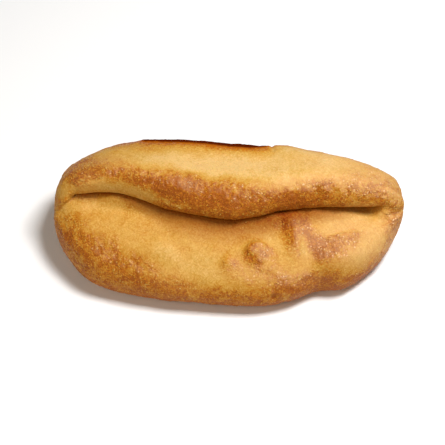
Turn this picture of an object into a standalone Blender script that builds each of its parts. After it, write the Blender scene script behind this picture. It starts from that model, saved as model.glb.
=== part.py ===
"""Coconut bun: an oval of sweet dough folded over along its length and baked.

The thick upper lip lies on a broader lower flap, and a deep crease runs between them from
tip to tip. The bun is one solid. +X runs along its length, the crease faces -Y, +Z is up,
and the origin is under the middle of the bun, on the surface that it rests on.
"""

import math

import bmesh
import bpy
from mathutils import Vector, noise

MM = 0.001

# Driving dimensions.
LENGTH = 150 * MM
TIP_Y = 4 * MM  # the two tips lie a little behind the middle
TIP_Z = 20 * MM  # and at this height above the base
LEFT_BLUNTNESS = 2.8  # exponent of the tapering ends: 2 is an ellipse, more is squarer
RIGHT_BLUNTNESS = 2.6

# How finely the surface is divided.
RINGS = 92  # cross-sections between the tips, evenly spaced along the outline
OUTLINE_SAMPLES = 2000  # how finely the outline is measured to space them

# The cross-section at the middle, from the base up the lower flap, into the crease and out
# again, round the lip and down the back. Each point has its place (y, z), how much it
# follows the crease where that wanders, how far it gives way where the crease gapes, and the
# steps to the next point.
SECTION = (
    ("base_near_front", -22.0, 0.0, 0.0, 0.0, 1),
    ("base_front", -30.0, 0.0, 0.0, 0.0, 1),
    ("toe", -36.5, 3.2, 0.0, 0.0, 3),
    ("flap_nose", -39.5, 10.5, 0.0, 0.0, 4),
    ("flap_brow", -36.0, 18.5, 0.05, 0.0, 5),
    ("flap_slope", -28.0, 24.2, 0.15, 0.0, 5),
    ("flap_top", -19.0, 27.4, 0.5, -0.4, 4),
    ("crease_floor", -9.0, 28.8, 1.0, -2.2, 3),
    ("crease_root_low", 2.0, 29.2, 1.0, -0.5, 1),
    ("crease_root_high", 2.2, 30.2, 1.0, 0.2, 3),
    ("lip_under", -7.6, 29.9, 1.0, 0.3, 2),
    ("lip_nose", -12.4, 35.2, 1.0, 0.0, 4),
    ("lip_brow", -9.6, 42.4, 0.95, 0.0, 4),
    ("ridge", -1.6, 46.0, 0.8, 0.0, 5),
    ("saddle", 13.0, 43.8, 0.4, 0.0, 4),
    ("back_shoulder", 26.5, 40.0, 0.0, 0.0, 3),
    ("back_slope", 35.5, 30.5, 0.0, 0.0, 3),
    ("back_nose", 38.8, 17.5, 0.0, 0.0, 3),
    ("heel", 36.0, 4.4, 0.0, 0.0, 2),
    ("base_back", 29.0, 0.0, 0.0, 0.0, 1),
    ("base_near_back", 21.0, 0.0, 0.0, 0.0, 3),
)
FLAP_ROWS = ("toe", "flap_nose", "flap_brow", "flap_slope", "flap_top")
LIP_ROWS = ("lip_under", "lip_nose", "lip_brow", "ridge", "saddle")
TOP_EDGE = {"saddle": 0.5, "back_shoulder": 1.0, "back_slope": 0.8}  # how much they follow it

# Lines that run along the bun, as (share of the half length, value) at a few stations.
CREASE_BACK = (  # how far behind its place at the middle the crease lies, before tapering
    (-1.0, 18.0),
    (-0.85, 13.5),
    (-0.62, 11.8),
    (-0.34, 4.6),
    (-0.05, 0.0),
    (0.26, 2.6),
    (0.49, 5.6),
    (0.72, 5.4),
    (0.86, 4.2),
    (1.0, 4.0),
)
CREASE_UP = (  # and how far above it
    (-1.0, 7.0),
    (-0.85, 5.0),
    (-0.62, 3.5),
    (-0.34, 0.5),
    (0.0, 0.0),
    (0.6, 0.0),
    (0.82, -0.8),
    (1.0, -0.5),
)
CREASE_GAPE = (  # and how far it gapes, towards each end
    (-1.0, 0.0),
    (-0.88, 0.2),
    (-0.76, 1.0),
    (-0.62, 0.4),
    (-0.4, 0.0),
    (0.5, 0.0),
    (0.7, 0.9),
    (0.82, 2.0),
    (0.89, 0.7),
    (1.0, 0.0),
)
CREASE_CLOSES = (  # how far it has closed up, towards each tip
    (-1.0, 1.0),
    (-0.91, 1.0),
    (-0.83, 0.0),
    (0.8, 0.0),
    (0.89, 1.0),
    (1.0, 1.0),
)
CLOSED_BULGE = 0.07  # how round the dough is where it has closed, as a share of its height
TOP_EDGE_BACK = (  # how far the top edge of the back stands out, in and out along the bun
    (-1.0, -1.0),
    (-0.88, -0.2),
    (-0.72, 0.8),
    (-0.58, 1.2),
    (-0.5, 2.0),
    (-0.42, 1.2),
    (-0.3, 0.4),
    (-0.1, 0.2),
    (0.05, -0.6),
    (0.2, -1.5),
    (0.29, -0.1),
    (0.35, 0.7),
    (0.44, -0.1),
    (0.6, -0.4),
    (0.8, -0.9),
    (0.92, -1.2),
    (1.0, -1.0),
)
BACK_REACH = (  # share of its depth that the back keeps
    (-1.0, 1.35),
    (-0.88, 1.10),
    (-0.7, 1.03),
    (-0.45, 1.02),
    (0.0, 0.92),
    (0.3, 0.88),
    (0.65, 0.83),
    (0.9, 0.91),
    (1.0, 1.25),
)
FRONT_REACH = (  # and the front
    (-1.0, 0.72),
    (-0.9, 0.815),
    (-0.78, 0.88),
    (-0.6, 0.88),
    (-0.2, 0.915),
    (0.15, 0.95),
    (0.36, 0.915),
    (0.46, 0.84),
    (0.53, 0.825),
    (0.64, 0.86),
    (0.75, 0.80),
    (0.84, 0.70),
    (0.9, 0.59),
    (0.95, 0.47),
    (1.0, 0.30),
)
BASE_BLUNTNESS = 4.0  # the flat base runs on towards the tips, then curls up
BASE_FLAT = 1.05  # more than 1 keeps it flat for longer before that

# Blisters, folds and hollows, laid out on a plane that leans back and faces the folded side.
LEAN = math.radians(52)
RELIEF = (
    # rows, then place (u, v), half length, reach above and below it, turn, height
    ("blister", FLAP_ROWS, 12.4, -2.0, 8.0, 4.6, 4.6, -60, 3.0),
    ("blister_tail", FLAP_ROWS, 17.5, -8.0, 7.0, 3.2, 3.2, -30, 0.9),
    ("low_bump", FLAP_ROWS, -0.9, -6.7, 4.2, 3.8, 3.8, 0, 1.0),
    ("fold", FLAP_ROWS, 27.0, 4.5, 10.5, 5.5, 3.6, -76, 2.8),
    ("fold_valley", FLAP_ROWS, 34.0, 0.5, 7.0, 2.6, 2.6, -70, -0.8),
    ("mound", FLAP_ROWS, 47.0, -2.4, 14.5, 3.6, 12.0, 15, 3.6),
    ("mound_shelf", FLAP_ROWS, 49.0, 8.0, 15.0, 5.0, 5.0, 12, -1.0),
    ("notch_hollow", FLAP_ROWS, 40.5, -16.0, 7.0, 5.5, 5.5, 30, -1.6),
    ("notch_bulge", FLAP_ROWS, 50.0, -16.5, 6.0, 5.0, 5.0, 30, 0.8),
    ("long_valley", FLAP_ROWS, -1.5, -1.0, 16.0, 4.5, 4.5, 40, -0.7),
    ("left_swell", FLAP_ROWS, -38.0, 1.0, 20.0, 9.0, 9.0, -12, 0.8),
    ("end_cleft", FLAP_ROWS, 63.0, 10.5, 5.5, 2.6, 2.6, -45, -1.3),
    ("end_knob", FLAP_ROWS, 69.5, 12.0, 4.5, 4.0, 4.0, 60, 1.2),
    ("lip_dent", LIP_ROWS, 37.2, 21.0, 8.0, 2.8, 2.8, 94, -1.1),
    ("lip_dent_right", LIP_ROWS, 43.0, 22.0, 6.5, 2.8, 2.8, 88, -0.7),
    ("lip_hump", LIP_ROWS, 30.0, 22.0, 7.0, 5.0, 5.0, 80, 0.7),
    ("lip_hump_left", LIP_ROWS, -22.0, 27.0, 12.0, 6.0, 6.0, -25, 0.7),
    ("saddle_dip", LIP_ROWS, -6.0, 37.0, 26.0, 6.5, 5.0, -3, -1.2),
)
NOISE_SEED = 5
UNEVENNESS = (  # size of the swells, how far they move the surface
    (21 * MM, 0.9 * MM),
    (8 * MM, 0.35 * MM),
)
EVEN_BELOW = 6 * MM  # the swells die away from this height down to the base


def along(line, share):
    """The line's value at a share of the half length, smooth through its stations."""
    last = len(line) - 1
    i = 1
    while i < last and share > line[i][0]:
        i += 1
    slopes = []
    for k in (i - 1, i):
        (x0, v0), (x1, v1) = line[max(k - 1, 0)], line[min(k + 1, last)]
        slopes.append((v1 - v0) / (x1 - x0))
    (x0, v0), (x1, v1) = line[i - 1], line[i]
    span = x1 - x0
    s = (share - x0) / span
    return (
        v0 * (1 + 2 * s) * (1 - s) ** 2
        + v1 * (3 - 2 * s) * s**2
        + slopes[0] * span * s * (1 - s) ** 2
        - slopes[1] * span * (1 - s) * s**2
    )


def taper(share, bluntness):
    """How much of the middle section is left at this share of the half length."""
    return (1 - abs(share) ** bluntness) ** (1 / bluntness)


def size_at(share):
    """How much of the middle section is left, on the side where this share lies."""
    return taper(share, LEFT_BLUNTNESS if share < 0 else RIGHT_BLUNTNESS)


def ring_shares():
    """Where the rings lie: evenly spaced along the outline seen from above, tips left out."""
    half_depth = SECTION[-2][1] * MM
    shares = [
        -math.cos(math.pi * i / OUTLINE_SAMPLES) for i in range(OUTLINE_SAMPLES + 1)
    ]
    outline = [Vector((s * LENGTH / 2, half_depth * size_at(s))) for s in shares]
    travelled = [0.0]
    for before, after in zip(outline, outline[1:]):
        travelled.append(travelled[-1] + (after - before).length)
    chosen = []
    i = 0
    for k in range(1, RINGS + 1):
        wanted = travelled[-1] * k / (RINGS + 1)
        while travelled[i] < wanted:
            i += 1
        chosen.append(shares[i])
    return chosen


def section_at(share):
    """The section's control points at this share of the half length, as (y, z)."""
    size = size_at(share)
    base_size = min(1.0, BASE_FLAT * taper(share, BASE_BLUNTNESS))
    back, up = along(CREASE_BACK, share), along(CREASE_UP, share)
    gape, edge = along(CREASE_GAPE, share), along(TOP_EDGE_BACK, share)
    points = []
    for name, y, z, follow, give, _ in SECTION:
        y = (y + follow * back + TOP_EDGE.get(name, 0) * edge) * MM - TIP_Y
        z = (z + follow * up + give * gape) * MM - TIP_Z
        y *= along(BACK_REACH if y > 0 else FRONT_REACH, share)
        points.append((TIP_Y + y * size, TIP_Z + z * (size if z > 0 else base_size)))
    return with_crease_closed(points, min(1.0, max(0.0, along(CREASE_CLOSES, share))))


def with_crease_closed(points, closed):
    """The section with its crease pulled out towards a low arc, by this share."""
    names = [row[0] for row in SECTION]
    first, last = names.index("flap_top"), names.index("lip_brow")
    (y0, z0), (y1, z1) = points[first], points[last]
    for i in range(first + 1, last):
        t = (i - first) / (last - first)
        out = CLOSED_BULGE * math.sin(math.pi * t)
        y, z = points[i]
        y += (y0 + (y1 - y0) * t - (z1 - z0) * out - y) * closed
        z += (z0 + (z1 - z0) * t + (y1 - y0) * out - z) * closed
        points[i] = (y, z)
    return points


def through(p0, p1, p2, p3, step):
    """A point of the smooth curve from p1 to p2, with p0 before them and p3 after."""
    total = []
    for a, b, c, d in zip(p0, p1, p2, p3):
        total.append(
            0.5
            * (
                2 * b
                + (c - a) * step
                + (2 * a - 5 * b + 4 * c - d) * step**2
                + (3 * b - 3 * c + d - a) * step**3
            )
        )
    return total


def relief(rows, u, v):
    """How far the blisters and hollows of these rows move the surface at a place."""
    total = 0.0
    for _, on_rows, u0, v0, length, above, below, turn, height in RELIEF:
        if on_rows is not rows:
            continue
        cos, sin = math.cos(math.radians(turn)), math.sin(math.radians(turn))
        du, dv = u / MM - u0, v / MM - v0
        a = (du * cos + dv * sin) / length
        b = dv * cos - du * sin
        b /= above if b > 0 else below
        total += height * MM * max(0.0, 1 - a * a - b * b) ** 2
    return total


def uneven(point):
    """The point moved a little by slow swells, which leave the base as it is."""
    strength = min(1.0, max(0.0, point.z / EVEN_BELOW)) ** 2
    moved = point.copy()
    for size, amount in UNEVENNESS:
        moved += noise.noise_vector(point / size) * amount * strength
    return moved


def ring_at(share):
    """The closed section at this share of the half length, as points."""
    x = share * LENGTH / 2
    points = section_at(share)
    count = len(points)
    towards = Vector((0, -math.cos(LEAN), math.sin(LEAN)))
    ring = []
    for i, (name, *_, steps) in enumerate(SECTION):
        p0, p1 = points[i - 1], points[i]
        p2, p3 = points[(i + 1) % count], points[(i + 2) % count]
        rows = next((rows for rows in (FLAP_ROWS, LIP_ROWS) if name in rows), None)
        for k in range(steps):
            y, z = through(p0, p1, p2, p3, k / steps)
            height = relief(rows, x, y * math.sin(LEAN) + z * math.cos(LEAN))
            ring.append(uneven(Vector((x, y, z)) + height * towards))
    return ring


def centred(points):
    """Moves the points so that their box is centred over the origin, along X and Y."""
    for axis in (0, 1):
        places = [point[axis] for point in points]
        middle = (min(places) + max(places)) / 2
        for point in points:
            point[axis] -= middle


def bun_mesh():
    """Rings of points from tip to tip, joined by faces and closed at the tips."""
    rings = [ring_at(share) for share in ring_shares()]
    tips = [uneven(Vector((side * LENGTH / 2, TIP_Y, TIP_Z))) for side in (-1, 1)]
    centred([point for ring in rings for point in ring] + tips)

    body = bmesh.new()
    rings = [[body.verts.new(point) for point in ring] for ring in rings]
    for before, after in zip(rings, rings[1:]):
        for i in range(len(before)):
            body.faces.new((before[i - 1], before[i], after[i], after[i - 1]))
    for ring, point in ((rings[0], tips[0]), (rings[-1], tips[1])):
        tip = body.verts.new(point)
        for i in range(len(ring)):
            body.faces.new((ring[i - 1], ring[i], tip))
    bmesh.ops.recalc_face_normals(body, faces=body.faces)
    mesh = bpy.data.meshes.new("bun")
    body.to_mesh(mesh)
    body.free()
    mesh.shade_smooth()
    return mesh


def crust_material():
    crust = bpy.data.materials.new("crust")
    crust.use_nodes = True
    shader = crust.node_tree.nodes["Principled BSDF"]
    shader.inputs["Base Color"].default_value = (0.62, 0.30, 0.07, 1)
    shader.inputs["Roughness"].default_value = 0.55
    return crust


def main():
    for old in list(bpy.data.objects):
        bpy.data.objects.remove(old)
    noise.seed_set(NOISE_SEED)
    bun = bpy.data.objects.new("bun", bun_mesh())
    bun.data.materials.append(crust_material())
    bpy.context.scene.collection.objects.link(bun)


main()
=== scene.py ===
# %% [markdown]
# # A coconut bun
# The real bun is an oval of sweet dough, folded over its coconut filling along its length and
# baked on a tray. The imported solid already has its size, its two thick lips and its larger
# blisters. This lesson turns that solid into baked crust: a fine mesh with small folds and
# blisters, a browning that is worked out point by point, painted shade in the crease and under
# the lip, and a skin that shines where the egg wash dried, partly with real gloss and partly
# with painted sheen. Everything is in metres.

# %% Load the imported bun
import itertools
import math

import bmesh
import bpy
import numpy as np
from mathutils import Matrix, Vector
from mathutils.bvhtree import BVHTree


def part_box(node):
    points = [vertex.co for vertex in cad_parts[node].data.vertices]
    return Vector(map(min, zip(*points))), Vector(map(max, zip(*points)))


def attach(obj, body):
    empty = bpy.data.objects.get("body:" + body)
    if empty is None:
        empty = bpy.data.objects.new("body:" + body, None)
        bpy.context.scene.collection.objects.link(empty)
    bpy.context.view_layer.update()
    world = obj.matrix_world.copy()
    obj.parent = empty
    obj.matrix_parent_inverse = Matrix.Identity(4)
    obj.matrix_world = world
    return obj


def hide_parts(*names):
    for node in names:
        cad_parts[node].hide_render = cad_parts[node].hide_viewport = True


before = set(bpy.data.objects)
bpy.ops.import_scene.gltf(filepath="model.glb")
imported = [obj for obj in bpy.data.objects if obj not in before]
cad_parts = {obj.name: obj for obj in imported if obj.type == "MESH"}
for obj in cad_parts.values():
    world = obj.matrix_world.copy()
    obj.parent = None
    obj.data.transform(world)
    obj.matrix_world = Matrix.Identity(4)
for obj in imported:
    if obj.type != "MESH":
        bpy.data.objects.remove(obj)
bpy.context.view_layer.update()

MM = 0.001
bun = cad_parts["bun"]

# %% [markdown]
# The camera looks down on the folded side from well above, with a long lens, so that the far
# edge isn't drawn smaller than the near one. A long lens needs a long distance: here the lens
# is set so that the bun's 150 mm fill the same share of a square picture at any distance.

# %% Place the camera
PICTURE = 445  # pixels, wide and high
BUN_ACROSS = 349  # pixels that the bun's length takes
BUN_LENGTH = 150 * MM
LOOKING_DOWN = math.radians(52)
DISTANCE = 0.60
LOOK_AT = Vector((-2.8, -3.5, 20.5)) * MM
view = Vector((0, math.cos(LOOKING_DOWN), -math.sin(LOOKING_DOWN)))

camera = bpy.data.objects.new("camera", bpy.data.cameras.new("camera"))
camera.data.sensor_width = 36
camera.data.lens = 36 * BUN_ACROSS / PICTURE * DISTANCE / BUN_LENGTH
camera.data.clip_start = 0.01
camera.location = LOOK_AT - view * DISTANCE
camera.rotation_euler = view.to_track_quat("-Z", "Y").to_euler()
bpy.context.scene.collection.objects.link(camera)
bpy.context.scene.camera = camera
print("lens %.1f mm" % camera.data.lens)

# %% [markdown]
# Bread looks best in the light of a big window. One large soft lamp stands high behind the
# right end, a weaker one fills in from the front left, and a white surround lifts the shadows.
# The floor is a plain pale sheet.

# %% Light the table
LAMPS = (  # place, width of the lamp, power in watts, colour
    ((0.21, -0.02, 0.62), 0.20, 4.9, (1.0, 1.0, 1.0)),
    ((-0.30, -0.40, 0.45), 0.40, 1.1, (1.0, 0.86, 0.68)),
)
SURROUND = 0.12

for place, width, power, colour in LAMPS:
    lamp = bpy.data.objects.new("lamp", bpy.data.lights.new("lamp", "AREA"))
    lamp.data.size = width
    lamp.data.energy = power
    lamp.data.color = colour
    lamp.location = place
    lamp.rotation_euler = (LOOK_AT - lamp.location).to_track_quat("-Z", "Y").to_euler()
    bpy.context.scene.collection.objects.link(lamp)

surround = bpy.data.worlds.new("surround")
surround.use_nodes = True
surround.node_tree.nodes["Background"].inputs["Color"].default_value = (1, 1, 1, 1)
surround.node_tree.nodes["Background"].inputs["Strength"].default_value = SURROUND
bpy.context.scene.world = surround
bpy.context.scene.view_settings.view_transform = "Standard"

sheet = bmesh.new()
bmesh.ops.create_grid(sheet, x_segments=1, y_segments=1, size=2.0)
floor = bpy.data.objects.new("floor", bpy.data.meshes.new("floor"))
sheet.to_mesh(floor.data)
sheet.free()
bpy.context.scene.collection.objects.link(floor)
paper = bpy.data.materials.new("pale_paper")
paper.use_nodes = True
paper.node_tree.nodes["Principled BSDF"].inputs["Base Color"].default_value = (0.93, 0.93, 0.93, 1)
paper.node_tree.nodes["Principled BSDF"].inputs["Roughness"].default_value = 0.9
floor.data.materials.append(paper)
print("lamps:", len(LAMPS))

# %% [markdown]
# The solid's mesh is loose triangles. A copy is merged into one skin, its triangles are
# joined in pairs, and two rounds of Catmull-Clark subdivision then give smooth, even faces
# about half a millimetre across. Sculpting by hand could start from the same mesh; here every
# later step moves its points with rules, so that it comes out the same each time.

# %% Copy the solid as one skin
crust = bpy.data.objects.new("crust", bun.data.copy())
crust.data.materials.clear()
bpy.context.scene.collection.objects.link(crust)

skin = bmesh.new()
skin.from_mesh(crust.data)
bmesh.ops.remove_doubles(skin, verts=skin.verts, dist=1e-6)
bmesh.ops.join_triangles(
    skin,
    faces=skin.faces,
    angle_face_threshold=math.radians(60),
    angle_shape_threshold=math.radians(80),
)
print("skin:", len(skin.verts), "points,", len(skin.faces), "faces,",
      sum(len(face.verts) == 4 for face in skin.faces), "with four sides")

# %% [markdown]
# An open face lies free; the inside of the crease is sheltered. How open each
# point lies is measured by sending a fan of rays out from it and counting those that get
# away. A baked ambient occlusion would give the same, but this stays on the points, where
# both the shaping and the browning can use it: the browning paints shade into the crease with it.

# %% Measure how open each point lies
RAYS = 48
REACH = 14 * MM


def fan_of_rays(count):
    """Directions spread evenly over a half ball around +Z."""
    turns = np.arange(count) * math.pi * (3 - math.sqrt(5))
    heights = (np.arange(count) + 0.5) / count
    flat = np.sqrt(1 - heights**2)
    return [Vector(d) for d in zip(flat * np.cos(turns), flat * np.sin(turns), heights)]


tree = BVHTree.FromBMesh(skin)
fan = fan_of_rays(RAYS)
skin.normal_update()
open_layer = skin.verts.layers.float.new("openness")
for point in skin.verts:
    turned = Vector((0, 0, 1)).rotation_difference(point.normal)
    start = point.co + point.normal * 0.2 * MM
    away = sum(tree.ray_cast(start, turned @ ray, REACH)[0] is None for ray in fan)
    point[open_layer] = away / RAYS
print("openness from %.2f to %.2f" % (
    min(p[open_layer] for p in skin.verts), max(p[open_layer] for p in skin.verts)))

# %% [markdown]
# At the two ends the lips were pinched together, so the crease stops short of the tips. Its
# last stretch is smoothed away in three steps, each nearer to the tips than the one before, so
# that the tips are smoothed most. Open skin and skin near the tray stay as they are.

# %% Close the crease at the tips
LAST_STRETCH = ((-64.5, -67, -70), (65.5, 68.0, 70))  # where each step begins, left and right
PASSES = 16
SHELTERED = 0.96  # points more open than this stay
LOWEST_PINCHED = 12 * MM


def smooth_out(points, passes):
    """Moves these points of the skin towards their neighbours, once for each pass."""
    for _ in range(passes):
        bmesh.ops.smooth_vert(
            skin, verts=points, factor=0.5, use_axis_x=True, use_axis_y=True, use_axis_z=True)


for left, right in zip(*LAST_STRETCH):
    pinched = [p for p in skin.verts
               if p[open_layer] < SHELTERED and p.co.z > LOWEST_PINCHED
               and not left < p.co.x / MM < right]
    smooth_out(pinched, PASSES)
    print("pinched:", len(pinched), "points")

# %% [markdown]
# The fold, the blister and the mound of the solid have steep sides. Risen dough is rounder, so
# their open skin is smoothed too, with fewer passes, which keeps the forms themselves.

# %% Ease the fold and the blister
STEEP_SIDES = (  # name, middle along and across the bun, half length, half width, passes
    ("fold", (25.0, -14.0), 9.0, 15.0, 5),
    ("blister", (9.0, -24.0), 9.0, 9.0, 3),
    ("mound", (45.0, -24.0), 16.0, 9.0, 4),
)

OPEN_SKIN = 0.45  # points less open than this stay
LOWEST_EASED = 8 * MM


def in_oval(place, middle, half_length, half_width):
    """Whether a place lies in this oval, seen from above."""
    along = (place.x / MM - middle[0]) / half_length
    across = (place.y / MM - middle[1]) / half_width
    return math.hypot(along, across) < 1


for name, middle, half_length, half_width, passes in STEEP_SIDES:
    steep = [p for p in skin.verts
             if p.co.z > LOWEST_EASED and p[open_layer] > OPEN_SKIN
             and in_oval(p.co, middle, half_length, half_width)]
    smooth_out(steep, passes)
    print(name, "eased:", len(steep), "points")

# %% [markdown]
# The skin is now coarse but has the right form. A subdivision modifier splits every face twice
# and is applied at once, because the next steps have to move the new points one by one.

# %% Subdivide the skin
skin.to_mesh(crust.data)
skin.free()
for polygon in crust.data.polygons:
    polygon.use_smooth = True
finer = crust.modifiers.new("finer", "SUBSURF")
finer.levels = finer.render_levels = 2
with bpy.context.temp_override(object=crust, active_object=crust):
    bpy.ops.object.modifier_apply(modifier=finer.name)
mesh = crust.data
print("crust:", len(mesh.vertices), "points,", sum(len(p.vertices) - 2 for p in mesh.polygons), "triangles")

# %% [markdown]
# Places on the folded side are easiest to name on a flat map that faces the camera: u runs
# along the bun and v up across it, both in millimetres. One map covers both lips, so each
# point also knows which lip it is on, from its height above the line where the crease ends.

# %% Lay the map over the bun
CREASE_HEIGHT = (  # along the bun, height of the bottom of the crease
    (-76, 20), (-71, 27.9), (-64, 30.3), (-46, 31.8), (-25, 30.0),
    (0, 29.7), (45, 28.4), (64, 26.3), (71, 24.2), (76, 20),
)


def values_of(mesh, kind, width):
    """The points' places or normals as rows of numbers."""
    store = np.empty(len(mesh.vertices) * width)
    if kind == "normal":
        mesh.vertex_normals.foreach_get("vector", store)
    else:
        mesh.vertices.foreach_get("co", store)
    return store.reshape(-1, width)


def course(line, along):
    """The height of a line of stations at each place along the bun."""
    return np.interp(along, [u for u, _ in line], [v for _, v in line])


def eased(low, high, value):
    """0 up to low, 1 from high, and a smooth step between them."""
    share = np.clip((value - low) / (high - low), 0, 1)
    return share * share * (3 - 2 * share)


points = values_of(mesh, "place", 3)
normals = values_of(mesh, "normal", 3)
openness = np.empty(len(points))
mesh.attributes["openness"].data.foreach_get("value", openness)

u = points[:, 0] / MM
v = (points[:, 1] * math.sin(LOOKING_DOWN) + points[:, 2] * math.cos(LOOKING_DOWN)) / MM
height = points[:, 2] / MM
facing = normals @ np.array((0, -math.cos(LOOKING_DOWN), math.sin(LOOKING_DOWN)))
above_crease = height - course(CREASE_HEIGHT, u)
on_lip = above_crease > 0
flap_share = np.where(on_lip, 0, eased(-0.05, 0.3, facing))
lip_share = np.where(on_lip, eased(-0.6, 0.05, facing), 0)
print("points on the flap %d, on the lip %d" % ((flap_share > 0.5).sum(), (lip_share > 0.5).sum()))

# %% [markdown]
# While it baked, the flap swelled until it touched the lip, except near the two ends, where
# the crease stayed a little open. Each point of the flap near the lip is lifted straight up,
# but never by more than most of the room it has: a ray sent up from it measures that room.

# %% Press the flap against the lip
LIP_EDGE = (  # the lower edge of the lip on the map
    (-76, 24), (-66, 23.2), (-55, 23.0), (-46, 22.0), (-34, 18.8), (-24, 15.2), (-13, 12.6), (0, 11.4),
    (9, 12.0), (20, 13.6), (31, 15.4), (48, 16.4), (60, 16.6), (76, 17),
)
SWELLING = (  # along the bun, how far the flap rises where it has the room
    (-70, 0.0), (-64, 1.2), (-56, 1.9), (-48, 3.4), (-34, 3.4), (-20, 2.8), (20, 2.6), (40, 2.0),
    (52, 1.2), (62, 0.0),
)
PRESSED = 0.88  # share of the room that the flap may fill
BEHIND_LIP = -12  # on the map, how far behind the lip's edge swelling and the painted shade reach

below_lip = course(LIP_EDGE, u) - v
swelling = course(SWELLING, u) * eased(7.0, 1.0, below_lip)
swelling *= (below_lip > BEHIND_LIP) * ~on_lip * (normals[:, 2] > 0)
near_lip = np.flatnonzero(swelling > 0.01)
tree = BVHTree.FromPolygons([Vector(p) for p in points], [tuple(p.vertices) for p in mesh.polygons])
room = np.full(len(points), 20.0)
for i in near_lip:
    hit = tree.ray_cast(Vector(points[i]) + Vector((0, 0, 0.05 * MM)), Vector((0, 0, 1)), 20 * MM)
    room[i] = 20.0 if hit[0] is None else hit[3] / MM
lift = np.minimum(swelling, PRESSED * room)
points[:, 2] += lift * MM
v += lift * math.cos(LOOKING_DOWN)
mesh.vertices.foreach_set("co", points.ravel())
mesh.update()
normals = values_of(mesh, "normal", 3)
below_lip = course(LIP_EDGE, u) - v
print("flap lifted by up to %.2f mm at %d points" % (lift.max(), len(near_lip)))

# %% [markdown]
# Four brushes shape the dough. A mound is a soft round swelling or hollow. A rim is a step
# that rises quickly on one side of a line and dies away slowly behind it, like the edge of a
# blister. A crest is a ridge along a line, and a groove is a narrow dent along one. They only
# say how far the skin moves. Swells are smooth random values, for all that isn't drawn.

# %% Make the brushes
def mound(u, v, middle, half_length, above, below, turn):
    """1 in the middle of a soft oval place, 0 outside it."""
    cos, sin = math.cos(math.radians(turn)), math.sin(math.radians(turn))
    du, dv = u - middle[0], v - middle[1]
    along = (du * cos + dv * sin) / half_length
    across = dv * cos - du * sin
    across = across / np.where(across > 0, above, below)
    return np.clip(1 - along**2 - across**2, 0, None) ** 2


def rounded(line, steps=6):
    """More stations on the same line, so that it bends smoothly."""
    line = [np.array(station, float) for station in line]
    line = [2 * line[0] - line[1]] + line + [2 * line[-1] - line[-2]]
    finer_line = []
    for a, b, c, d in zip(line, line[1:], line[2:], line[3:]):
        for t in np.arange(steps) / steps:
            finer_line.append(0.5 * (2 * b + (c - a) * t + (2 * a - 5 * b + 4 * c - d) * t**2
                                     + (3 * b - 3 * c + d - a) * t**3))
    return finer_line + [line[-2]]


def off_line(u, v, line):
    """Distance from a line, positive on its left, and the share of the way along it."""
    line = rounded(line)
    lengths = [np.hypot(*(b - a)) for a, b in zip(line, line[1:])]
    nearest, side, way = np.full(u.shape, 1e9), np.ones(u.shape), np.zeros(u.shape)
    travelled = 0
    for a, b, length in zip(line, line[1:], lengths):
        du, dv = b - a
        t = np.clip(((u - a[0]) * du + (v - a[1]) * dv) / length**2, 0, 1)
        gap = np.hypot(u - a[0] - t * du, v - a[1] - t * dv)
        closer = gap < nearest
        nearest = np.where(closer, gap, nearest)
        side = np.where(closer, np.sign(du * (v - a[1]) - dv * (u - a[0])), side)
        way = np.where(closer, (travelled + t * length) / sum(lengths), way)
        travelled += length
    return nearest * side, way


def rim(u, v, line, quick, slow):
    """A step that rises over `quick` on the left of the line and dies away over `slow`."""
    gap, way = off_line(u, v, line)
    ends = eased(0, 0.2, way) * eased(1, 0.8, way)
    rise = (1 - np.exp(-((np.clip(gap, 0, None) / quick) ** 2))) * np.exp(-((gap / slow) ** 2))
    return rise * ends * (gap > 0)


def crest(u, v, line, left, right):
    """1 along a line, dying away over its own width on each side and at both ends."""
    gap, way = off_line(u, v, line)
    return np.exp(-((gap / np.where(gap > 0, left, right)) ** 2)) * eased(0, 0.3, way) * eased(1, 0.7, way)


def groove(u, v, line, width):
    """1 along a line and 0 beside it, dying away at both ends."""
    gap, way = off_line(u, v, line)
    return np.exp(-((gap / width) ** 2)) * eased(0, 0.25, way) * eased(1, 0.75, way)


def swells(points, size, seed):
    """Smooth random values between -1 and 1, about this size across."""
    table = np.random.RandomState(seed).uniform(-1, 1, (32, 32, 32))
    cells = points / size + 1000
    corner = np.floor(cells).astype(int)
    share = cells - corner
    share = share * share * (3 - 2 * share)
    total = np.zeros(len(points))
    for step in itertools.product((0, 1), repeat=3):
        weight = np.prod(np.where(step, share, 1 - share), axis=1)
        at = (corner + step) % 32
        total += weight * table[at[:, 0], at[:, 1], at[:, 2]]
    return total


print("brushes: mound, rim, crest, groove, and swells")

# %% [markdown]
# On the lower flap, steam lifted the skin into a blister with a crisp arched edge, the dough
# folded over itself once, and a broad mound pushed up towards the right end. The solid has
# the round of each. The fine skin gets the edges that catch the light.

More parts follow.
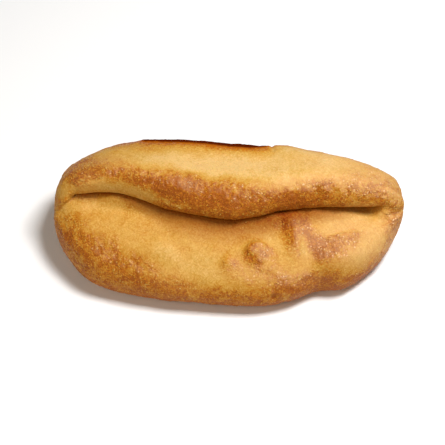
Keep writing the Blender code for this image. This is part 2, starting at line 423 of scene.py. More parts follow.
# %% Shape the flap
FLAP_RIMS = (  # name, line with the raised dough on its left, rise, quick, slow
    ("blister edge", ((18.0, -2.6), (16.0, 0.6), (13.2, 2.4), (9.8, 2.2), (6.6, 0.0), (5.0, -3.4)),
     1.2, 0.9, 4.5),
    ("blister flank", ((9.2, 2.0), (6.0, -0.8), (5.4, -4.4), (7.0, -8.0), (10.5, -11.0)), 0.7, 3.0, 7.0),
    ("mound edge", ((59.0, 4.4), (54.5, 6.4), (50.1, 6.4), (45.1, 5.0), (41.4, 4.2), (38.6, 2.4)),
     0.6, 0.8, 9.0),
    ("mound flank", ((36.0, 5.0), (33.6, 2.6), (33.0, -1.0), (34.4, -4.6), (37.5, -8.5)), 1.0, 3.6, 10.0),
)
FLAP_CRESTS = (  # name, line, width on the left, on the right, rise
    ("fold", ((24.0, 15.5), (26.4, 11.5), (28.4, 7.0), (29.6, 2.0), (30.2, -4.4)), 4.6, 3.0, 0.8),
    ("left streak", ((-33.0, 4.0), (-27.5, 0.0), (-22.0, -6.0)), 2.4, 2.4, 0.35),
    ("shelf back", ((44.0, 13.0), (52.0, 13.5), (60.0, 11.5)), 3.0, 3.0, 0.5),
    ("under the left lip",
     ((-70.0, 21.0), (-60.0, 21.6), (-50.0, 21.0), (-40.0, 19.0), (-28.0, 15.0)), 2.4, 3.6, 1.3),
)
FLAP_GROOVES = (  # name, line, width, depth
    ("above the blister", ((17.6, 0.2), (13.6, 3.3), (9.0, 3.2), (5.0, 0.4), (3.6, -3.4)), 1.0, 0.15),
    ("below the shelf", ((55.0, 7.2), (50.4, 7.0), (45.0, 5.7), (40.4, 4.6)), 0.6, 0.4),
    ("left tip line", ((-73.5, 20.4), (-70.5, 20.6), (-67.5, 21.0), (-64.5, 21.4)), 0.9, 0.6),
    ("knob wrinkle", ((66.0, 14.6), (69.5, 13.2), (73.0, 13.6)), 0.5, 0.5),
    ("knob wrinkle low", ((67.0, 10.8), (70.5, 10.2), (73.5, 11.2)), 0.5, 0.4),
    ("end cleft", ((60.0, 17.0), (64.0, 14.8), (66.2, 12.0), (67.8, 9.0), (69.0, 6.0)), 2.4, 0.4),
    ("front pit rim", ((16.6, -22.6), (16.9, -20.0), (19.0, -19.0)), 0.7, -0.35),
)
FLAP_MOUNDS = (  # name, middle, half length, above, below, turn, height
    ("front pit", (18.9, -21.6), 2.4, 2.2, 2.2, 0, -0.9),
    ("low bump edge", (-0.9, -6.4), 3.4, 2.6, 2.6, 20, 0.35),
    ("blister face", (8.4, -4.6), 3.6, 2.2, 2.2, -60, -0.2),
    ("end knob", (71.2, 12.6), 5.6, 4.6, 4.6, 60, 0.5),
)


def flap_forms(u, v):
    """How far the small folds and blisters raise the flap, in millimetres."""
    total = np.zeros(u.shape)
    for _, line, rise, quick, slow in FLAP_RIMS:
        total += rise * rim(u, v, line, quick, slow)
    for _, line, left, right, rise in FLAP_CRESTS:
        total += rise * crest(u, v, line, left, right)
    for _, line, width, depth in FLAP_GROOVES:
        total -= depth * groove(u, v, line, width)
    for _, middle, half_length, above, below, turn, rise in FLAP_MOUNDS:
        total += rise * mound(u, v, middle, half_length, above, below, turn)
    return total


flap_rise = flap_forms(u, v) * flap_share
print("flap forms from %.2f to %.2f mm" % (flap_rise.min(), flap_rise.max()))

# %% [markdown]
# The upper lip was stretched as it was folded over. Short wrinkles run down its edge on the
# right, a few shallow dents lie on the saddle, and the rest of it is only slightly uneven.

# %% Shape the lip
LIP_GROOVES = (  # name, line, width, depth
    ("wrinkle", ((45.8, 25.0), (44.8, 20.6), (43.6, 16.5)), 0.7, 0.4),
    ("wrinkle middle", ((37.0, 26.0), (36.8, 21.0), (37.6, 16.5)), 0.9, 0.2),
    ("wrinkle left", ((28.0, 22.0), (28.6, 18.6), (29.6, 15.6)), 0.9, 0.2),
    ("saddle arc", ((-16.4, 33.2), (-12.4, 34.6), (-7.0, 34.0)), 0.8, 0.25),
    ("back notch", ((19.4, 40.0), (18.8, 42.5), (18.0, 45.0)), 0.9, 0.7),
)
LIP_MOUNDS = (  # name, middle, half length, above, below, turn, height
    ("patch", (2.6, 22.8), 2.2, 1.6, 1.6, 30, 0.3),
    ("left bumps", (-59.4, 26.8), 7.0, 3.0, 3.0, 0, 0.25),
)


def lip_forms(u, v):
    """How far the wrinkles and dents move the upper lip, in millimetres."""
    total = np.zeros(u.shape)
    for _, line, width, depth in LIP_GROOVES:
        total -= depth * groove(u, v, line, width)
    for _, middle, half_length, above, below, turn, rise in LIP_MOUNDS:
        total += rise * mound(u, v, middle, half_length, above, below, turn)
    return total


lip_rise = lip_forms(u, v) * lip_share
print("lip forms from %.2f to %.2f mm" % (lip_rise.min(), lip_rise.max()))

# %% [markdown]
# Crust browns where it stands out to the heat and stays pale where another part shades it.
# Painting that by hand would work once; here it is a sum of named places on the map: the
# front edge below a wandering line, a broad band along the upper lip, and single spots for
# the blister, the fold and the mound. Noise of two sizes breaks up every border.

# %% Brown the flap
FRONT_LINE = (  # the flap is brown below this line
    (-76, 17), (-70, 11), (-60, 6), (-49, 0), (-38, -4.5), (-29, -10), (-22, -14.5), (-14, -19),
    (0, -18.5), (12, -17), (20, -15), (28, -13.5), (38, -11.5), (48, -12), (56, -9.5), (64, -5), (74, 2),
)
FRONT_SOFTNESS = ((-76, 10), (-40, 9), (-25, 5), (0, 3.5), (76, 4.5))
FLAP_PALE = 0.295
FRONT_BROWN = 0.64
FLAP_BROWNS = (  # name, middle, half length, above, below, turn, how much browner
    # blister face: partly browning, partly painted shade on the slope turned from the lamp
    ("blister face", (9.4, -5.0), 7.5, 4.6, 4.2, -55, 0.36),
    ("blister top", (13.6, -1.4), 8.0, 5.2, 5.2, -35, 0.36),
    ("blister tail", (17.0, -8.0), 12.0, 6.0, 6.0, -45, 0.11),
    ("low bump", (-0.9, -7.2), 6.5, 4.6, 4.6, 20, 0.17),
    # fold foot: partly browning, partly painted shade on the fold's slope turned from the lamp
    ("fold foot", (24.8, 6.0), 14.0, 6.2, 6.2, -72, 0.30),
    ("fold head", (28.0, 10.0), 9.0, 8.0, 8.0, -40, 0.20),
    # mound foot: partly browning, partly painted shade on the mound's flank turned from the lamp
    ("mound foot", (35.2, 2.2), 14.0, 5.8, 6.4, -55, 0.45),
    ("mound dark", (41.0, -2.5), 8.0, 5.5, 5.5, -50, 0.17),
    ("mound", (43.0, -0.5), 13.0, 8.0, 11.0, 8, 0.14),
    ("notch hollow", (43.0, -17.0), 12.0, 6.0, 6.0, -15, -0.02),
    ("end knob", (71.5, 12.0), 9.0, 7.0, 7.0, 60, 0.26),
    ("left glint", (-26.0, -2.0), 12.0, 4.5, 4.5, -35, -0.14),
    ("low speckle", (15.0, -12.0), 28.0, 8.0, 8.0, -5, 0.16),
    # painted shade just under the lip
    ("under the lip", (-2.0, 10.6), 36.0, 9.0, 9.0, -6, 0.05),
    ("pale middle", (-10.0, -8.5), 15.0, 11.0, 10.0, -15, -0.20),
    ("left tip", (-72.0, 19.0), 9.0, 7.0, 7.0, 60, -0.18),
    ("right rim", (68.0, 1.0), 17.0, 4.0, 4.0, 62, 0.20),
    # painted light: the flap is paled below the left end of the crease, where the lip's shadow falls
    ("left of the crease", (-57.0, 16.5), 14.0, 4.0, 4.0, 0, -0.14),
    # between the legs: partly paler dough, partly painted light on the fold's top turned to the lamp
    ("between the legs", (30.4, 1.5), 9.0, 3.2, 3.2, -72, -0.24),
)
FLAP_LINES = (  # name, line, width, how much browner
    # painted shade: a thin dark line at the foot of the step above the mound
    ("above the mound", ((56.0, 7.0), (53.4, 7.2), (49.0, 6.6), (44.0, 5.2)), 0.5, 0.12),
)
FLAP_EDGES = (  # name, line with the browner dough on its left, quick, slow, how much browner
    ("mound edge", ((58.0, 5.4), (54.5, 6.4), (50.1, 6.4), (45.1, 5.0), (41.4, 4.2), (38.6, 2.4)),
     0.6, 8.0, 0.24),
)


def flap_browning(u, v, wander):
    """How brown the flap is, from 0 to 1."""
    below_line = course(FRONT_LINE, u) + 3.0 * wander - v
    soft = course(FRONT_SOFTNESS, u)
    total = FLAP_PALE + (FRONT_BROWN - FLAP_PALE) * eased(-soft, soft, below_line)
    for _, middle, half_length, above, below, turn, amount in FLAP_BROWNS:
        spot = mound(u + 1.6 * wander, v - 1.6 * wander, middle, half_length, above, below, turn)
        total += amount * spot ** 0.8
    for _, line, quick, slow, amount in FLAP_EDGES:
        total += amount * rim(u, v, line, quick, slow)
    for _, line, width, amount in FLAP_LINES:
        total += amount * groove(u, v, line, width)
    return total


wander = 0.6 * swells(points, 9 * MM, 11) + 0.4 * swells(points, 3.5 * MM, 12)
flap_brown = flap_browning(u, v, wander)
print("flap browning on average %.2f" % flap_brown[flap_share > 0.5].mean())

# %% [markdown]
# The upper lip stood highest in the oven. Its rounded front browned to a broad band, which ends
# softly towards the paler saddle behind it and more firmly above its own underside. Lines of
# stations along the bun say where the band ends and how brown each of the three parts is.

# %% Brown the upper lip
BAND_TOP = (  # along the bun, the height on the map at which the band ends above
    (-76, 34), (-62, 37), (-48, 33.8), (-42, 31.6), (-36, 30.2), (-25, 31.0), (-16, 29.0), (-6, 26.2),
    (3, 24.2), (9, 23.2), (18, 22.8), (29, 24.8), (38, 26.0), (50, 26), (58, 25.4), (65, 24.8), (76, 23),
)
BAND_SOFTNESS = ((-76, 5.0), (-40, 5.0), (-10, 6.0), (5, 6.5), (20, 6.5), (76, 6.5))
BAND_BOTTOM = (  # the height on the map at which it ends below
    (-76, 25.5), (-62, 25.8), (-54, 27.0), (-48, 27.2), (-42, 26.2), (-32, 22.4), (-25, 19.6), (-13, 16.4),
    (-3, 15.0), (15, 15.4), (29, 16.8), (38, 17.8), (50, 18.6), (65, 19.0), (76, 18),
)
BAND_BROWN = (  # how brown the band is
    (-76, 0.52), (-62, 0.66), (-48, 0.73), (-42, 0.79), (-25, 0.88), (-3, 0.87), (15, 0.82),
    (29, 0.74), (38, 0.67), (50, 0.60), (65, 0.52), (76, 0.44),
)
SADDLE_BROWN = (  # how brown the lip is above the band
    (-76, 0.38), (-60, 0.35), (-50, 0.28), (-40, 0.15), (-25, 0.02), (15, 0.0), (30, 0.08), (45, 0.18),
    (60, 0.32), (76, 0.34),
)
UNDER_LIP = (  # how brown it is below the band
    (-76, 0.48), (-62, 0.34), (-50, 0.22), (-38, 0.28), (-25, 0.44), (-10, 0.66), (15, 0.72),
    (35, 0.58), (60, 0.48), (76, 0.4),
)
LIP_BROWNS = (  # name, middle, half length, above, below, turn, how much browner
    ("patch", (2.6, 22.8), 3.0, 2.0, 2.0, 30, -0.14),
    ("left bumps", (-59.4, 27.4), 8.0, 4.0, 4.0, 0, -0.09),
    ("low edge", (-26.0, 16.6), 12.0, 2.2, 3.0, -20, 0.3),
    ("band heart", (-33.0, 27.0), 15.0, 4.5, 4.5, -28, 0.08),
    ("ridge", (8.0, 20.0), 36.0, 7.0, 7.0, 0, 0.06),
    ("end knob", (72.0, 15.0), 7.0, 5.0, 5.0, 60, 0.20),
    ("left tip", (-73.0, 24.0), 9.0, 7.0, 7.0, 60, -0.18),
)


def lip_browning(u, v, wander):
    """How brown the upper lip is, from 0 to 1."""
    v = v + 1.7 * wander
    soft = course(BAND_SOFTNESS, u)
    above = eased(-soft, soft, v - course(BAND_TOP, u))
    band = eased(-2.6, 2.6, v - course(BAND_BOTTOM, u)) * (1 - above)
    base = course(UNDER_LIP, u) * (1 - above) + course(SADDLE_BROWN, u) * above
    total = base + (course(BAND_BROWN, u) - base) * band
    for _, middle, half_length, above, below, turn, amount in LIP_BROWNS:
        total += amount * mound(u, v, middle, half_length, above, below, turn)
    return total


lip_brown = lip_browning(u, v, wander)
print("lip browning on average %.2f" % lip_brown[lip_share > 0.5].mean())

# %% [markdown]
# The far side faced the wall of the oven. It is an even brown, and its top edge is almost
# black-red between the left shoulder and the notch. The dark strip fades at both ends and down
# the back, where only some darkening is left of it. Inside the crease the crust is set to a brown
# of its own, as painted shade. Underneath, where the bun stood on the tray, the crust is brown and dull.

# %% Brown the back and the base
BACK_BROWN = 0.58
BASE_BROWN = 0.68
DARKEST = 0.88  # what ordinary crust stays below
DARK_EDGE_BROWNING = 1.04
DARKER_AROUND_EDGE_BY = 0.38  # how much browner the crust gets around the dark strip
TRAY_BROWN_AND_SHADE = 0.27  # how much darker it gets near the tray: browning, and painted shade near the floor
CREASE_MOUTH = ((-50, 0.58), (-30, 0.45))  # along the bun, the openness where the crease begins
CREASE_SHADE_BROWN = ((-20, 0.78), (20, 0.45))  # along the bun, the browning that paints shade inside the crease
DARK_EDGE_ABOVE = (  # along the bun, the height on the map above which the top edge is darkest
    (-48, 49), (-42, 47.0), (-38, 45.4), (-36, 44.8), (-27, 44.4), (-18, 44.0), (-12, 43.3), (-6, 42.6),
    (0, 42.1), (6, 41.7), (12, 41.6), (15, 42.0), (17.5, 43.0), (20, 45.2), (25, 49),
)

depth_back = points[:, 1] / MM
front_side = np.where(on_lip, eased(14, 4, depth_back), eased(4, -8, depth_back))
seen = np.maximum(eased(0.02, 0.38, facing), front_side)
front_brown = flap_brown + (lip_brown - flap_brown) * eased(-2.0, 2.0, above_crease)
browning = BACK_BROWN + (front_brown - BACK_BROWN) * seen
browning += 0.07 * swells(points, 14 * MM, 13) + 0.06 * swells(points, 6 * MM, 14)
blotches = 0.16 * swells(points, 2.4 * MM, 15) + 0.14 * swells(points, 1.2 * MM, 16)
browning += blotches * (0.3 + 0.7 * eased(0.3, 0.6, browning))
# A dark strip, almost black-red, along the top edge, fading at both ends and down the back.
over_line = v + 0.25 * wander - course(DARK_EDGE_ABOVE, u)
turned_away = eased(0.06, -0.42, facing + 0.12 * wander)
along = u + 6 * wander
behind = eased(-62, -20, along) * eased(46, 0, along) * eased(12, 34, height + 6 * wander)
ends = eased(-46, -22, along) * eased(26, 2, along)
strip = eased(-2.4, 1.2, over_line) * (1 - (1 - ends) * eased(0.15, -0.10, facing))
around_edge = eased(-8.0, -0.5, over_line) * (1 - turned_away) + 0.8 * behind * turned_away
edge = strip * (1 - turned_away)
around_edge, edge = (share * (depth_back > 5) for share in (around_edge, edge))
browning += DARKER_AROUND_EDGE_BY * around_edge
# Darker near the tray: partly browning, partly painted shade near the floor.
browning += TRAY_BROWN_AND_SHADE * eased(12, 4, height) * (normals[:, 2] > -0.6)
browning = np.clip(browning, 0, DARKEST)
browning += (DARK_EDGE_BROWNING - browning) * edge
# Painted shade: inside the crease the crust is set darker and more saturated, as little light gets in.
crease_shade = eased(course(CREASE_MOUTH, u), 0.2, openness)
browning += (course(CREASE_SHADE_BROWN, u) - browning) * crease_shade * (height > 15)
under = eased(-0.5, -0.9, normals[:, 2]) * eased(5, 1, height)
browning += (BASE_BROWN - browning) * under
browning = np.clip(browning, 0, 1)
print("browning from %.2f to %.2f" % (browning.min(), browning.max()))

# %% [markdown]
# Painted shade under the lip: the flap just below the lip's edge is darkened towards a deep,
# saturated brown, like the lip's shadow filled with light bounced off warm crust. It is darkest
# where the lip lies on it and weaker towards both ends.

# %% Paint shade on the dough under the lip
LIP_SHADE_REACH = (  # along the bun, how far below the lip the painted shade reaches
    (-76, 1.5), (-58, 1.2), (-50, 1.6), (-44, 4.0), (-36, 8.0), (-25, 11.0), (0, 12.0), (15, 11.5), (28, 8.5),
    (40, 7.2), (50, 6.0), (58, 4.0), (66, 3.0), (76, 2.0),
)

DEEPEST_LIP_SHADE = 0.90

# Painted shade: darkest just below the lip's edge, fading out further below.
reached = np.clip(1 - np.clip(below_lip / course(LIP_SHADE_REACH, u), 0, 1) ** 1.4, 0, 1)
lip_shade = DEEPEST_LIP_SHADE * reached * (0.30 + 0.70 * eased(-2.0, 1.0, below_lip)) * ~on_lip
lip_shade *= (below_lip > BEHIND_LIP) * eased(-0.1, 0.2, facing) * eased(-74, -64, u) * eased(74, 36, u)
print("damp up to %.2f" % lip_shade.max())

# %% [markdown]
# Where it is brown, the skin dried first and then blistered into fine pebbles. Where it is
# pale, it stayed soft, with shallow dimples. Both are real shape here, small as they are, and
# they fade out inside the crease and on the base.

# %% Move the skin
DIMPLES = ((8.0 * MM, 0.16), (4.0 * MM, 0.09), (2.2 * MM, 0.05))  # size, height in millimetres
PEBBLES = ((1.5 * MM, 0.13), (2.6 * MM, 0.12))

free = eased(0.25, 0.6, openness) * eased(0.3, 4.0, height)
brown_skin = eased(0.22, 0.70, browning)
roughness = np.zeros(len(points))
for i, (size, amount) in enumerate(DIMPLES):
    roughness += amount * swells(points, size, 21 + i)
for i, (size, amount) in enumerate(PEBBLES):
    roughness += amount * brown_skin * (0.5 - np.abs(swells(points, size, 31 + i))) * 2
rise = (flap_rise + lip_rise + roughness) * free
moved = points + normals * (rise * MM)[:, None]
low, high = (np.array(corner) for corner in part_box("bun"))
moved = np.clip(moved, low, high)
mesh.vertices.foreach_set("co", moved.ravel())
mesh.update()
print("skin moved by %.2f to %.2f mm" % (rise.min(), rise.max()))

# %% [markdown]
# Painted sheen: crust turned up towards the lamp and the camera is paled towards a pinkish
# white, as a highlight on egg-washed skin would show. It is found from the moved skin's normals,
# strengthened or weakened at named places, and kept off the painted shade under the lip and the
# dark top edge.

# %% Paint sheen on the skin that faces the lamp
# Painted sheen falls on skin turned towards this direction: up, to the right and towards the camera.
SHEEN_DIRECTION = np.array((0.45, -0.35, 0.82))
MOST_SHEEN = 1.3
SHEEN_PATCHES = (  # name, middle, half length, above, below, turn, how much painted sheen
    ("front left", (-24.0, -14.0), 18.0, 6.0, 6.0, -22, 0.2),
    ("front right", (16.0, -12.5), 30.0, 6.0, 5.0, -3, 0.35),
    ("left lip end", (-60.0, 28.0), 9.0, 6.0, 6.0, 0, 0.3),
    ("saddle", (0.0, 35.0), 42.0, 5.0, 6.0, -3, 0.5),
    ("ridge", (5.0, 20.5), 40.0, 7.0, 7.0, 0, -0.5),
    ("left shoulder", (-50.0, 35.5), 14.0, 4.0, 4.0, -5, 0.4),
    ("right shoulder", (50.0, 34.0), 28.0, 10.0, 8.0, -14, 1.0),
    ("right flap", (56.0, 1.0), 28.0, 18.0, 12.0, 0, 1.0),
    ("fold", (32.0, -2.0), 14.0, 6.0, 6.0, -80, 0.3),
)
toward_sheen = values_of(mesh, "normal", 3) @ SHEEN_DIRECTION
painted_sheen = MOST_SHEEN * eased(0.75, 0.98, toward_sheen) * np.where(on_lip, 1, 0.3 + 0.7 * eased(0.35, 0.55, browning))
for _, middle, half_length, above, below, turn, amount in SHEEN_PATCHES:
    painted_sheen += amount * mound(u + 2 * wander, v, middle, half_length, above, below, turn) ** 0.5
painted_sheen = np.clip(painted_sheen, 0, MOST_SHEEN) * free * (1 - edge) * np.clip(1 - 1.3 * lip_shade, 0, 1)
print("bloom on average %.2f" % painted_sheen.mean())

# %% [markdown]
# A shader can't read these arrays. Each one is stored on the points of the mesh under a name,
# and the materials look it up by that name.

# %% Store the masks on the points
MASKS = {
    "browning": browning,
    "pebbles": brown_skin * free * (1 - edge),
    # painted shade under the lip
    "lip_shade": lip_shade,
    # painted sheen
    "painted_sheen": painted_sheen,
}

for name, values in MASKS.items():
    layer = mesh.attributes.new(name, "FLOAT", "POINT")
    layer.data.foreach_set("value", values)
print("masks:", list(MASKS))

# %% [markdown]
# The colour of crust runs along one line, from pale butter through gold and orange-brown to
# dark red-brown, so one colour ramp serves every part of the bun. It becomes a node group
# with the browning as its input. Grain darkens or pales it, painted shade under the lip deepens it,
# and painted sheen pales it.

# %% Make the colour group
CRUST_COLOURS = (  # browning, colour
    (0.00, (0.670, 0.420, 0.140)),
    (0.22, (0.590, 0.327, 0.064)),
    (0.45, (0.535, 0.238, 0.024)),
    (0.65, (0.500, 0.165, 0.008)),
    (0.80, (0.420, 0.115, 0.007)),
    (0.90, (0.340, 0.084, 0.005)),
    (0.95, (0.250, 0.048, 0.003)),
    (1.00, (0.085, 0.009, 0.001)),
)
# the colour of the painted sheen
SHEEN_COLOUR = (0.90, 0.58, 0.33)
LIP_SHADE_COLOUR = (0.50, 0.24, 0.0)  # what the painted shade under the lip lets through
DARKEST_GRAIN = 0.84  # grain alone makes no crust darker than this
# how much more painted sheen falls on the specks than between them: painted glints
SHEEN_ON_FLECKS, SHEEN_BETWEEN = 1.2, 0.19


def start_group(name, inputs, outputs):
    """An empty node group with named inputs, each with a value, and outputs."""
    group = bpy.data.node_groups.new(name, "ShaderNodeTree")
    for label, kind, value in inputs:
        socket = group.interface.new_socket(label, in_out="INPUT", socket_type=kind)
        if value is not None:
            socket.default_value = value
    for label, kind in outputs:
        group.interface.new_socket(label, in_out="OUTPUT", socket_type=kind)
    return group, group.nodes.new("NodeGroupInput"), group.nodes.new("NodeGroupOutput")


def add(tree, kind, **values):
    """A new node, with its named inputs set or linked."""
    node = tree.nodes.new(kind)
    for label, value in values.items():
        label = label.replace("_", " ")
        place = int(label[1:]) if label[0] == "n" and label[1:].isdigit() else label
        if isinstance(value, bpy.types.NodeSocket):
            tree.links.new(value, node.inputs[place])
        else:
            node.inputs[place].default_value = value
    return node


def sum_up(tree, how, a, b, c=None):
    """A Math node's result."""
    node = tree.nodes.new("ShaderNodeMath")
    node.operation = how
    for place, value in enumerate((a, b, c)):
        if isinstance(value, bpy.types.NodeSocket):
            tree.links.new(value, node.inputs[place])
        elif value is not None:
            node.inputs[place].default_value = value
    return node.outputs[0]


colour_group, given, result = start_group(
    "crust_colour",
    (("Browning", "NodeSocketFloat", 0.4), ("Grain", "NodeSocketFloat", 0.5),
     ("Contrast", "NodeSocketFloat", 0.2), ("Depth", "NodeSocketFloat", 0.18),
     ("Damp", "NodeSocketFloat", 0.0), ("Bloom", "NodeSocketFloat", 0.0),
     ("Fleck", "NodeSocketFloat", 0.0)),
    (("Color", "NodeSocketColor"),),
)
shift = sum_up(colour_group, "MULTIPLY",
               sum_up(colour_group, "SUBTRACT", given.outputs["Grain"], 0.5), given.outputs["Contrast"])
shade = sum_up(colour_group, "MINIMUM", sum_up(colour_group, "SUBTRACT", given.outputs["Browning"], shift),
               sum_up(colour_group, "MAXIMUM", given.outputs["Browning"], DARKEST_GRAIN))
ramp = colour_group.nodes.new("ShaderNodeValToRGB")
ramp.color_ramp.interpolation = "LINEAR"
while len(ramp.color_ramp.elements) < len(CRUST_COLOURS):
    ramp.color_ramp.elements.new(0.5)
for stop, (where, colour) in zip(ramp.color_ramp.elements, CRUST_COLOURS):
    stop.position = where
    stop.color = (*colour, 1)
colour_group.links.new(shade, ramp.inputs["Fac"])
depth = sum_up(colour_group, "MULTIPLY_ADD",
               sum_up(colour_group, "SUBTRACT", given.outputs["Grain"], 0.5), given.outputs["Depth"], 1.0)
shaded = colour_group.nodes.new("ShaderNodeVectorMath")
shaded.operation = "SCALE"
colour_group.links.new(ramp.outputs["Color"], shaded.inputs[0])
colour_group.links.new(depth, shaded.inputs["Scale"])
# Painted shade under the lip: the colour is multiplied towards a deep, saturated brown.
shadowed = colour_group.nodes.new("ShaderNodeMix")
shadowed.data_type = "RGBA"
shadowed.blend_type = "MULTIPLY"
colour_group.links.new(given.outputs["Damp"], shadowed.inputs["Factor"])
colour_group.links.new(shaded.outputs[0], shadowed.inputs[6])
shadowed.inputs[7].default_value = (*LIP_SHADE_COLOUR, 1)
# Painted sheen: the colour is paled where the skin faces the lamp, most on the specks, as painted glints.
sheened = colour_group.nodes.new("ShaderNodeMix")
sheened.data_type = "RGBA"
colour_group.links.new(
    sum_up(colour_group, "MULTIPLY", given.outputs["Bloom"],
           sum_up(colour_group, "MULTIPLY_ADD", given.outputs["Fleck"], SHEEN_ON_FLECKS, SHEEN_BETWEEN)),
    sheened.inputs["Factor"])
colour_group.links.new(shadowed.outputs[2], sheened.inputs[6])
sheened.inputs[7].default_value = (*SHEEN_COLOUR, 1)
colour_group.links.new(sheened.outputs[2], result.inputs["Color"])
print("node group:", colour_group.name)

# %% [markdown]
# Seen close, crust is never one colour. Pores and clouds are two noises that run over all of it.
# Where the skin has pebbles, a cell pattern, stirred so that it doesn't look regular, adds specks
# to them. A painted texture would need unwrapping; this pattern needs only a position.

# %% Make the grain group
SPECK_STRENGTH, BETWEEN_SPECKS = 0.75, -0.08

grain_group, given, result = start_group(
    "crust_grain",
    (("Coordinate", "NodeSocketVector", None), ("Pebble Size", "NodeSocketFloat", 1.1),
     ("Pebbles", "NodeSocketFloat", 1.0)),
    (("Grain", "NodeSocketFloat"), ("Fleck", "NodeSocketFloat")),
)
pores = add(grain_group, "ShaderNodeTexNoise", Vector=given.outputs["Coordinate"],
            Scale=1400.0, Detail=3.0, Roughness=0.65)
clouds = add(grain_group, "ShaderNodeTexNoise", Vector=given.outputs["Coordinate"],
             Scale=520.0, Detail=2.0, Roughness=0.6, Distortion=2.2)
stir = add(grain_group, "ShaderNodeTexNoise", Vector=given.outputs["Coordinate"], Scale=900.0, Detail=1.0)
centred = add(grain_group, "ShaderNodeVectorMath", n0=stir.outputs["Color"], n1=(-0.5, -0.5, -0.5))
scaled = grain_group.nodes.new("ShaderNodeVectorMath")
scaled.operation = "SCALE"
grain_group.links.new(centred.outputs[0], scaled.inputs[0])
scaled.inputs["Scale"].default_value = 1.2 * MM
stirred = add(grain_group, "ShaderNodeVectorMath", n0=given.outputs["Coordinate"], n1=scaled.outputs[0])
cells = add(grain_group, "ShaderNodeTexVoronoi", Vector=stirred.outputs[0],
            Scale=sum_up(grain_group, "DIVIDE", 1000.0, given.outputs["Pebble Size"]))
speck = grain_group.nodes.new("ShaderNodeMapRange")
speck.interpolation_type = "SMOOTHSTEP"
grain_group.links.new(cells.outputs["Distance"], speck.inputs["Value"])
for label, value in (("From Min", 0.08), ("From Max", 0.46), ("To Min", 1.0), ("To Max", 0.0)):
    speck.inputs[label].default_value = value
chance_of = grain_group.nodes.new("ShaderNodeSeparateColor")
grain_group.links.new(cells.outputs["Color"], chance_of.inputs["Color"])
specks = sum_up(grain_group, "MULTIPLY", speck.outputs["Result"],
                sum_up(grain_group, "POWER", chance_of.outputs["Red"], 2.2))
smooth_part = sum_up(grain_group, "ADD",
                     sum_up(grain_group, "MULTIPLY_ADD", pores.outputs["Fac"], 1.3, -0.65),
                     sum_up(grain_group, "MULTIPLY_ADD", clouds.outputs["Fac"], 1.7, -0.35))
rough_part = sum_up(grain_group, "ADD", smooth_part,
                    sum_up(grain_group, "MULTIPLY_ADD", specks, SPECK_STRENGTH, BETWEEN_SPECKS))
blend = grain_group.nodes.new("ShaderNodeMix")
grain_group.links.new(given.outputs["Pebbles"], blend.inputs["Factor"])
grain_group.links.new(smooth_part, blend.inputs["A"])
grain_group.links.new(rough_part, blend.inputs["B"])
grain_group.links.new(blend.outputs["Result"], result.inputs["Grain"])
grain_group.links.new(specks, result.inputs["Fleck"])
print("node group:", grain_group.name)

# %% [markdown]
# The top crust was brushed with egg before baking. Where it browned it is a hard, slightly
# glossy shell; where it stayed pale it is dull and soft, and a little light passes under the
# skin. The shader takes browning and pebbles from the points and the grain from the group.

# %% Finish the crust
def use_group(tree, group, **values):
    """A group placed in a material, with its inputs set or linked."""
    node = tree.nodes.new("ShaderNodeGroup")
    node.node_tree = group
    for label, value in values.items():
        label = label.replace("_", " ")
        if isinstance(value, bpy.types.NodeSocket):
            tree.links.new(value, node.inputs[label])
        else:
            node.inputs[label].default_value = value
    return node


def mask(tree, name):
    """The value stored on the points under this name."""
    node = tree.nodes.new("ShaderNodeAttribute")
    node.attribute_name = name
    return node.outputs["Fac"]


def crust_material(name, pebble_size, contrast, dull, glossy, bump, shine):
    """Baked crust: browning and pebbles come from the points, grain from the group."""
    material = bpy.data.materials.new(name)
    material.use_nodes = True
    tree = material.node_tree
    shader = tree.nodes["Principled BSDF"]
    place = tree.nodes.new("ShaderNodeTexCoord").outputs["Object"]
    brown = mask(tree, "browning")
    rough_skin = mask(tree, "pebbles")
    grain = use_group(tree, grain_group, Coordinate=place, Pebble_Size=pebble_size,
                      Pebbles=rough_skin)
    strength = sum_up(tree, "MULTIPLY_ADD", rough_skin, contrast, contrast * 0.6)
    # painted shade under the lip
    painted_lip_shade = mask(tree, "lip_shade")
    # painted sheen
    sheen_mask = mask(tree, "painted_sheen")
    flecks = sum_up(tree, "MULTIPLY", grain.outputs["Fleck"], rough_skin)
    colour = use_group(tree, colour_group, Browning=brown, Grain=grain.outputs["Grain"],
                       Contrast=strength, Damp=painted_lip_shade, Bloom=sheen_mask,
                       Fleck=flecks)
    tree.links.new(colour.outputs["Color"], shader.inputs["Base Color"])
    tree.links.new(sum_up(tree, "MULTIPLY_ADD", rough_skin, glossy - dull, dull),
                   shader.inputs["Roughness"])
    raised = tree.nodes.new("ShaderNodeBump")
    raised.inputs["Distance"].default_value = bump
    raised.inputs["Strength"].default_value = 1.0
    tree.links.new(sum_up(tree, "MULTIPLY", grain.outputs["Grain"],
                          sum_up(tree, "MULTIPLY_ADD", rough_skin, 0.85, 0.15)),
                   raised.inputs["Height"])
    tree.links.new(raised.outputs["Normal"], shader.inputs["Normal"])
    shader.inputs["Specular IOR Level"].default_value = shine
    shader.inputs["Specular Tint"].default_value = (1.0, 0.90, 0.80, 1)
    shader.inputs["Subsurface Weight"].default_value = 0.15
    shader.inputs["Subsurface Radius"].default_value = (1.0, 0.45, 0.15)
    shader.inputs["Subsurface Scale"].default_value = 2.0 * MM
    return material


CRUSTS = (  # name, pebble size, contrast, dull, glossy, bump, shine
    ("top_crust", 1.15, 0.52, 0.58, 0.46, 0.45 * MM, 0.15),
    ("base_crust", 2.2, 0.25, 0.75, 0.62, 0.15 * MM, 0.20),
    ("dark_edge_crust", 1.3, 0.03, 0.95, 0.95, 0.20 * MM, 0.0),
)
TOP, BASE, DARK_EDGE_CRUST = range(3)
DARK_EDGE_FACES = 0.6  # share of the dark edge from which a face counts as dark edge crust

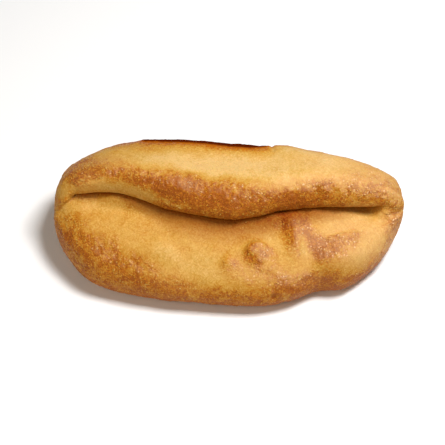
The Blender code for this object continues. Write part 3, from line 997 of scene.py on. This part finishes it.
for settings in CRUSTS:
    mesh.materials.append(crust_material(*settings))
for polygon in mesh.polygons:
    if polygon.normal.z < -0.8 and polygon.center.z < 1.5 * MM:
        polygon.material_index = BASE
    elif edge[polygon.vertices[0]] > DARK_EDGE_FACES:
        polygon.material_index = DARK_EDGE_CRUST
print("faces of each crust:", np.bincount([p.material_index for p in mesh.polygons]))

# %% [markdown]
# The last things the oven made are pinhead blisters: over two thousand tiny domes of dry skin,
# most of them on browned crust. One small ball is made with an operator, flattened into a dome,
# and copied to chosen points; a particle system could do it, but copies stay editable.

# %% Scatter the pinhead blisters
BLISTERS = 2200
SMALLEST, LARGEST = 0.14 * MM, 0.50 * MM

ball = bmesh.new()
bmesh.ops.create_icosphere(ball, subdivisions=1, radius=1.0)
dome_points = np.array([point.co[:] for point in ball.verts])
dome_faces = np.array([[point.index for point in face.verts] for face in ball.faces])
ball.free()

chance = np.random.RandomState(41)
normals = values_of(mesh, "normal", 3)
clusters = np.clip(0.35 + swells(points, 4.5 * MM, 42) + 0.6 * swells(points, 1.8 * MM, 43), 0, None) ** 2
liking = MASKS["pebbles"] ** 1.5 * (facing > -0.3) * np.where(on_lip, 1.0, 0.6) * clusters
chosen = chance.choice(len(moved), BLISTERS, replace=False, p=liking / liking.sum())
sizes = SMALLEST + (LARGEST - SMALLEST) * chance.uniform(0, 1, BLISTERS) ** 3
spins = chance.uniform(0, math.tau, BLISTERS)

up = normals[chosen]
side = np.cross(up, np.stack((np.cos(spins), np.sin(spins), 0.3 * np.ones(BLISTERS)), axis=1))
side /= np.linalg.norm(side, axis=1)[:, None]
other = np.cross(up, side)
narrow = chance.uniform(0.4, 0.85, BLISTERS)[:, None]
shape = np.stack((side, narrow * other, 0.5 * up), axis=1) * sizes[:, None, None]
seats = moved[chosen] - up * 0.15 * sizes[:, None]
places = np.einsum("pk,nkj->npj", dome_points, shape) + seats[:, None, :]
places = np.clip(places, low, high)
corners = dome_faces[None] + (np.arange(BLISTERS) * len(dome_points))[:, None, None]

blisters = bpy.data.objects.new("pinhead_blisters", bpy.data.meshes.new("pinhead_blisters"))
blisters.data.from_pydata(places.reshape(-1, 3).tolist(), [], corners.reshape(-1, 3).tolist())
for polygon in blisters.data.polygons:
    polygon.use_smooth = True
layer = blisters.data.attributes.new("browning", "FLOAT", "POINT")
pale = np.clip(browning[chosen] - chance.uniform(0.0, 0.45, BLISTERS), 0.0, 1)
layer.data.foreach_set("value", np.repeat(pale, len(dome_points)))
bpy.context.scene.collection.objects.link(blisters)
print("blisters:", BLISTERS, "of", len(dome_faces), "faces each")

# %% [markdown]
# The skin of a blister is thin and dry, so it shines a little more than the crust around it. It
# uses the same two groups, with finer grain and no painted shade or painted sheen.

# %% Finish the blisters
skin_material = bpy.data.materials.new("blister_skin")
skin_material.use_nodes = True
tree = skin_material.node_tree
shader = tree.nodes["Principled BSDF"]
place = tree.nodes.new("ShaderNodeTexCoord").outputs["Object"]
brown = mask(tree, "browning")
grain = use_group(tree, grain_group, Coordinate=place, Pebble_Size=0.4, Pebbles=1.0)
colour = use_group(tree, colour_group, Browning=brown, Grain=grain.outputs["Grain"],
                   Contrast=0.2)
tree.links.new(colour.outputs["Color"], shader.inputs["Base Color"])
shader.inputs["Roughness"].default_value = 0.40
shader.inputs["Specular IOR Level"].default_value = 0.25
shader.inputs["Specular Tint"].default_value = (1.0, 0.85, 0.68, 1)
blisters.data.materials.append(skin_material)
print("materials:", [m.name for m in bpy.data.materials])

# %% [markdown]
# Last, each piece is tied to the bun's one body, and the fine skin takes the place of the plain
# solid.

# %% Tie the pieces to the bun's body
for piece in (crust, blisters):
    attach(piece, "root")
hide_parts("bun")
